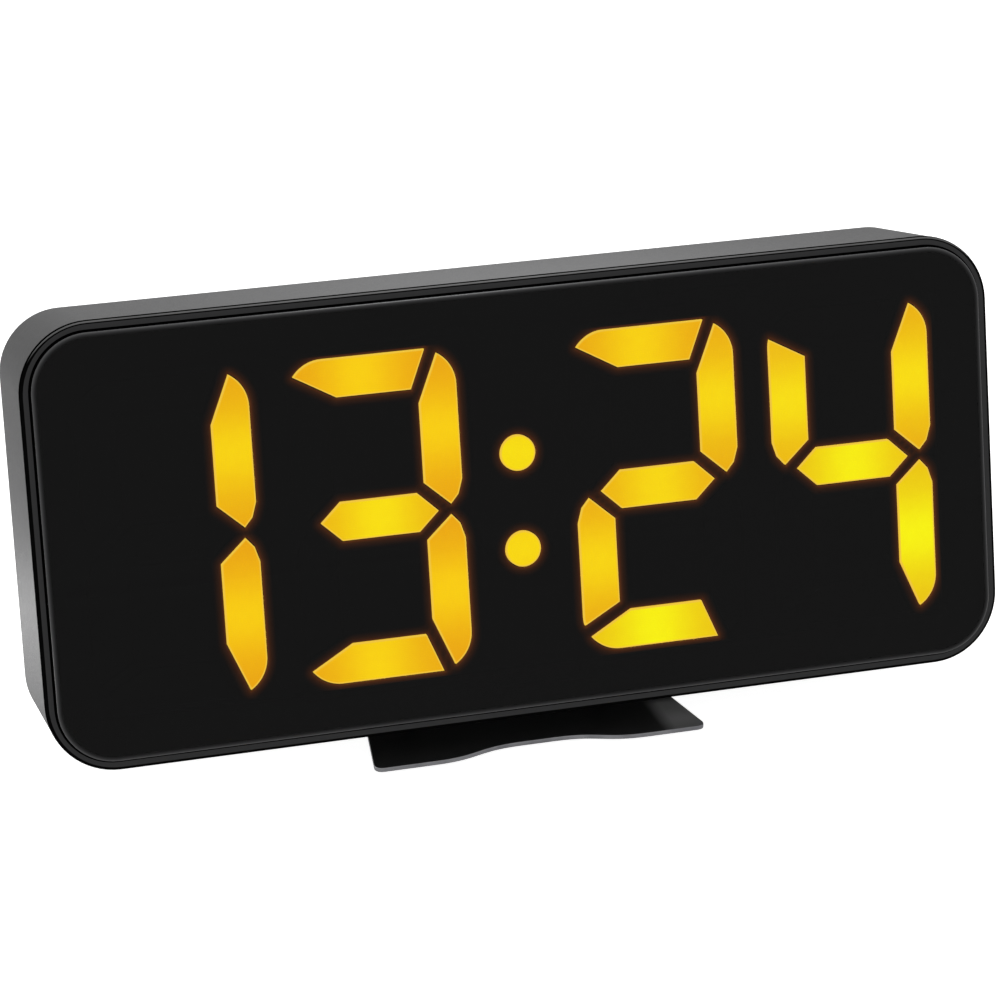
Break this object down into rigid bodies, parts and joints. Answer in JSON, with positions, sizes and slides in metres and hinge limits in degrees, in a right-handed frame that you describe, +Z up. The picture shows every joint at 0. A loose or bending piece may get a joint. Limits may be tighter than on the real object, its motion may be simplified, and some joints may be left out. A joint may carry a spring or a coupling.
{
  "type": "digital alarm clock",
  "caption": "Wide leaning digital alarm clock: lit seven-segment time behind a smoked lens, keys, slide switch and coin cell door at the back, hinged foot plate below.",
  "frame": {"origin": "centre of the whole object in plan, on the surface that it stands on", "axes": "+X to the viewer's right, -Y out of the display, +Z up"},
  "size_m": [0.165, 0.0416, 0.0788],
  "materials": {
    "casing_plastic": "fine-grained dark grey moulded plastic",
    "frame_gloss": "glossy black moulded plastic",
    "smoked_lens": "polished smoked acrylic",
    "mask_black": "matt black film",
    "lit_amber": "milky amber diffuser, lit from behind",
    "white_plastic": "white moulded plastic",
    "board_green": "green lacquered circuit board",
    "chip_black": "black moulded component",
    "bright_steel": "bright plated steel",
    "copper_foil": "thin copper foil",
    "key_black": "satin black key plastic",
    "painted_steel": "semi-gloss black paint on sheet steel, pale cut edge",
    "pad_rubber": "matt black rubber"
  },
  "bodies": {
    "casing": {"rear_casing": "casing_plastic", "front_frame": "frame_gloss", "front_lens": "smoked_lens", "segment_mask": "mask_black", "digit_diffuser_1": "lit_amber", "digit_diffuser_2": "lit_amber", "digit_diffuser_3": "lit_amber", "digit_diffuser_4": "lit_amber", "colon_diffuser": "lit_amber", "reflector_block": "white_plastic", "led_board": "board_green", "main_board": "board_green", "controller_chip": "chip_black", "timing_crystal": "bright_steel", "board_header": "chip_black", "smoothing_capacitor": "chip_black", "buzzer": "chip_black", "power_inlet": "chip_black", "touch_electrode": "copper_foil", "touch_contact": "bright_steel", "cell_holder": "chip_black", "cell_contact": "bright_steel", "backup_cell": "bright_steel", "alarm_key_switch": "chip_black", "plus_key_switch": "chip_black", "minus_key_switch": "chip_black", "set_key_switch": "chip_black", "slide_switch": "bright_steel", "casing_screw_1": "bright_steel", "casing_screw_2": "bright_steel", "casing_screw_3": "bright_steel", "casing_screw_4": "bright_steel", "display_screw_1": "bright_steel", "display_screw_2": "bright_steel", "display_screw_3": "bright_steel", "display_screw_4": "bright_steel", "board_screw_1": "bright_steel", "board_screw_2": "bright_steel", "board_screw_3": "bright_steel", "board_screw_4": "bright_steel", "left_friction_washer": "bright_steel", "right_friction_washer": "bright_steel", "hinge_pin": "bright_steel"},
    "foot": {"foot_plate": "painted_steel", "left_foot_pad": "pad_rubber", "right_foot_pad": "pad_rubber"},
    "alarm_button": {"alarm_key": "key_black", "alarm_key_plunger": "key_black"},
    "plus_button": {"plus_key": "key_black", "plus_key_plunger": "key_black"},
    "minus_button": {"minus_key": "key_black", "minus_key_plunger": "key_black"},
    "set_button": {"set_key": "key_black", "set_key_plunger": "key_black"},
    "slider": {"alarm_slider": "key_black"},
    "door": {"battery_door": "casing_plastic"}
  },
  "joints": [
    {"name": "foot_fold", "type": "hinge", "parent": "casing", "child": "foot", "pos_m": [0, 0.00135, 0.0069], "axis": [1, 0, 0], "range_deg": [-9.3, 0]},
    {"name": "alarm_press", "type": "slide", "parent": "casing", "child": "alarm_button", "axis": [0, -0.9792, 0.2028], "range_m": [0, 0.0005], "stiffness_N_per_m": 1200, "springref_m": -0.0004},
    {"name": "plus_press", "type": "slide", "parent": "casing", "child": "plus_button", "axis": [0, -0.9792, 0.2028], "range_m": [0, 0.0005], "stiffness_N_per_m": 1200, "springref_m": -0.0004},
    {"name": "minus_press", "type": "slide", "parent": "casing", "child": "minus_button", "axis": [0, -0.9792, 0.2028], "range_m": [0, 0.0005], "stiffness_N_per_m": 1200, "springref_m": -0.0004},
    {"name": "set_press", "type": "slide", "parent": "casing", "child": "set_button", "axis": [0, -0.9792, 0.2028], "range_m": [0, 0.0005], "stiffness_N_per_m": 1200, "springref_m": -0.0004},
    {"name": "alarm_slide", "type": "slide", "parent": "casing", "child": "slider", "axis": [1, 0, 0], "range_m": [0, 0.003]},
    {"name": "door_turn", "type": "hinge", "parent": "casing", "child": "door", "pos_m": [-0.0297, 0.01052, 0.02903], "axis": [0, 0.9792, -0.2028], "range_deg": [0, 90]}
  ]
}
